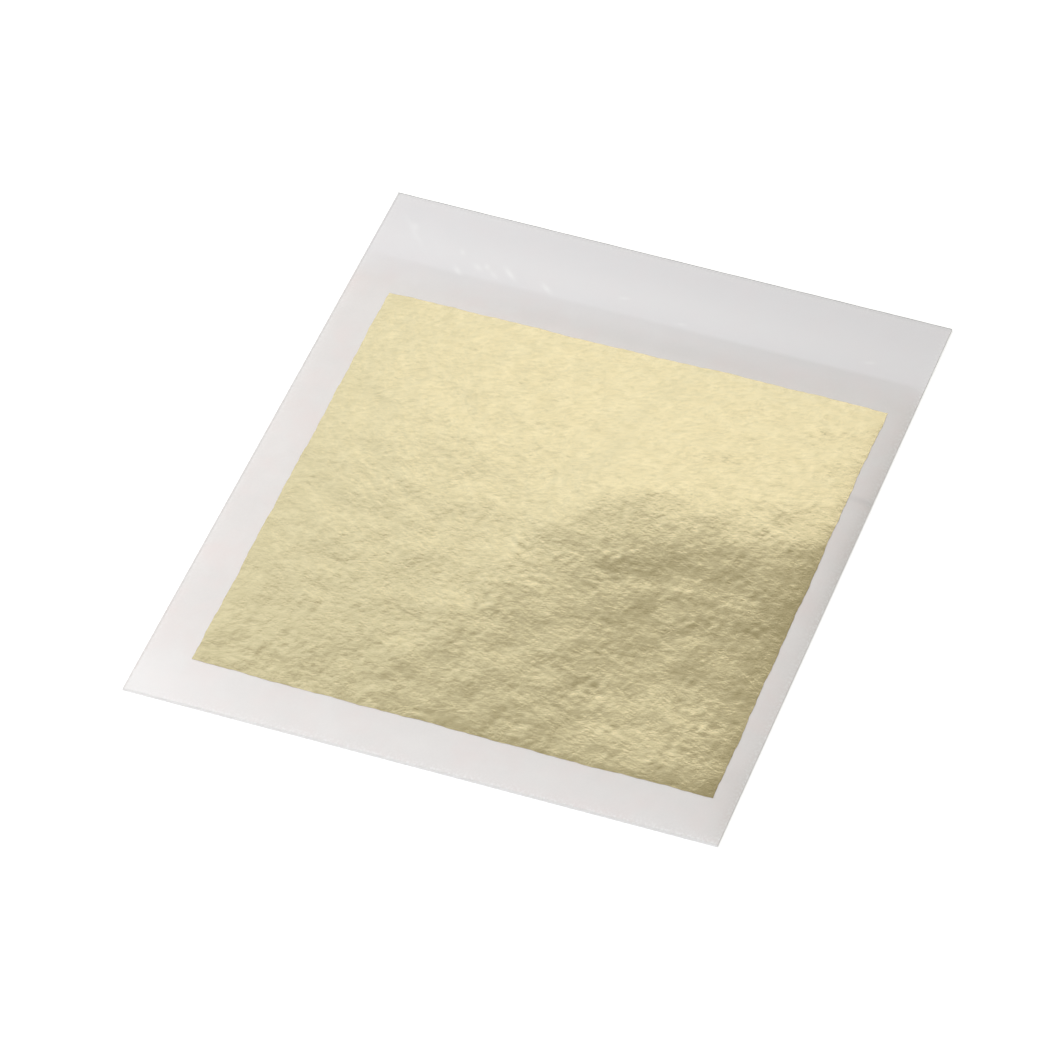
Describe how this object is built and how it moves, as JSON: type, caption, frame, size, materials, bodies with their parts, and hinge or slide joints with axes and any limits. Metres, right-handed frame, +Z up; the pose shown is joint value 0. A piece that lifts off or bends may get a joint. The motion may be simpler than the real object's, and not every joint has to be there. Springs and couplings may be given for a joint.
{
  "type": "gold leaf booklet",
  "caption": "Thin head-glued booklet of white tissue pages, each carrying one square metal leaf, lying open at its first page.",
  "frame": {"origin": "middle of the underside of the backing sheet and the glued head", "axes": "+X across the page to the right, +Y from the foot of the page to the glued head, +Z up out of the open page"},
  "size_m": [0.0908, 0.1092, 0.0004],
  "materials": {
    "tissue": "matte",
    "gold_leaf": "satin",
    "backing": "matte",
    "padding_glue": "satin"
  },
  "bodies": {
    "root": {"backing_sheet": "backing", "binding_glue": "padding_glue"},
    "turning_page_10": {"page_10": "tissue", "leaf_10": "gold_leaf"},
    "turning_page_09": {"page_09": "tissue", "leaf_09": "gold_leaf"},
    "turning_page_08": {"page_08": "tissue", "leaf_08": "gold_leaf"},
    "turning_page_07": {"page_07": "tissue", "leaf_07": "gold_leaf"},
    "turning_page_06": {"page_06": "tissue", "leaf_06": "gold_leaf"},
    "turning_page_05": {"page_05": "tissue", "leaf_05": "gold_leaf"},
    "turning_page_04": {"page_04": "tissue", "leaf_04": "gold_leaf"},
    "turning_page_03": {"page_03": "tissue", "leaf_03": "gold_leaf"},
    "turning_page_02": {"page_02": "tissue", "leaf_02": "gold_leaf"},
    "turning_page_01": {"page_01": "tissue", "leaf_01": "gold_leaf"}
  },
  "joints": [
    {"name": "turn_page_10", "type": "hinge", "parent": "root", "child": "turning_page_10", "pos_m": [0, 0.0543, 0.00044], "axis": [-1, 0, 0], "range_deg": [0, 10]},
    {"name": "turn_page_09", "type": "hinge", "parent": "turning_page_10", "child": "turning_page_09", "pos_m": [0, 0.0543, 0.00044], "axis": [-1, 0, 0], "range_deg": [0, 10]},
    {"name": "turn_page_08", "type": "hinge", "parent": "turning_page_09", "child": "turning_page_08", "pos_m": [0, 0.0543, 0.00044], "axis": [-1, 0, 0], "range_deg": [0, 10]},
    {"name": "turn_page_07", "type": "hinge", "parent": "turning_page_08", "child": "turning_page_07", "pos_m": [0, 0.0543, 0.00044], "axis": [-1, 0, 0], "range_deg": [0, 10]},
    {"name": "turn_page_06", "type": "hinge", "parent": "turning_page_07", "child": "turning_page_06", "pos_m": [0, 0.0543, 0.00044], "axis": [-1, 0, 0], "range_deg": [0, 10]},
    {"name": "turn_page_05", "type": "hinge", "parent": "turning_page_06", "child": "turning_page_05", "pos_m": [0, 0.0543, 0.00044], "axis": [-1, 0, 0], "range_deg": [0, 10]},
    {"name": "turn_page_04", "type": "hinge", "parent": "turning_page_05", "child": "turning_page_04", "pos_m": [0, 0.0543, 0.00044], "axis": [-1, 0, 0], "range_deg": [0, 10]},
    {"name": "turn_page_03", "type": "hinge", "parent": "turning_page_04", "child": "turning_page_03", "pos_m": [0, 0.0543, 0.00044], "axis": [-1, 0, 0], "range_deg": [0, 10]},
    {"name": "turn_page_02", "type": "hinge", "parent": "turning_page_03", "child": "turning_page_02", "pos_m": [0, 0.0543, 0.00044], "axis": [-1, 0, 0], "range_deg": [0, 10]},
    {"name": "turn_page_01", "type": "hinge", "parent": "turning_page_02", "child": "turning_page_01", "pos_m": [0, 0.0543, 0.00044], "axis": [-1, 0, 0], "range_deg": [0, 88]}
  ]
}
